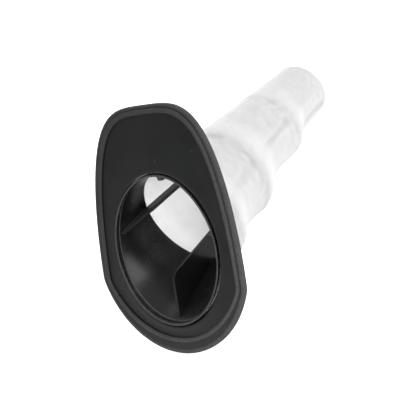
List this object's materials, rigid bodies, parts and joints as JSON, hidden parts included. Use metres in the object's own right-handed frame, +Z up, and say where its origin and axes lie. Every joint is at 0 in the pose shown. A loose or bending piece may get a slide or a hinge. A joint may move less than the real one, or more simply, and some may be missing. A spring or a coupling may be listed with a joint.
{
  "type": "filter sleeve cartridge",
  "caption": "Egg-shaped black flange with a rubber rim seal and an oval mouth; a funnel collar and strut cage behind it hold a tapered white cloth filter sleeve.",
  "frame": {"origin": "the point where the tube axis crosses the front of the flange panel, inside the mouth", "axes": "+Y along the tube axis from the mouth to the closed end of the sleeve; +Z up, towards the narrow top of the flange; X across the flange, which is its mirror plane's normal"},
  "size_m": [0.0786, 0.1398, 0.0912],
  "materials": {
    "plate_plastic": "fine satin moulding",
    "seal_rubber": "matte moulded rubber",
    "collar_plastic": "smooth gloss moulding",
    "cage_plastic": "smooth satin moulding",
    "sleeve_cloth": "white non-woven felt"
  },
  "bodies": {
    "flange": {"flange_plate": "plate_plastic", "rim_seal": "seal_rubber"},
    "cage": {"mouth_collar": "collar_plastic", "bottom_web": "cage_plastic", "left_strut": "cage_plastic", "right_strut": "cage_plastic", "top_strut": "cage_plastic", "front_hoop": "cage_plastic", "middle_hoop": "cage_plastic", "end_hoop": "cage_plastic", "end_cap": "cage_plastic"},
    "sleeve": {"sleeve_hem": "sleeve_cloth", "sleeve_front_section": "sleeve_cloth", "sleeve_middle_section": "sleeve_cloth", "sleeve_end_section": "sleeve_cloth", "sleeve_end_disc": "sleeve_cloth"}
  },
  "joints": [
    {"name": "cage_draw", "type": "slide", "parent": "flange", "child": "cage", "axis": [0, -1, 0], "range_m": [0, 0.15]},
    {"name": "sleeve_pull", "type": "slide", "parent": "cage", "child": "sleeve", "axis": [0, 1, 0], "range_m": [0, 0.11]}
  ]
}
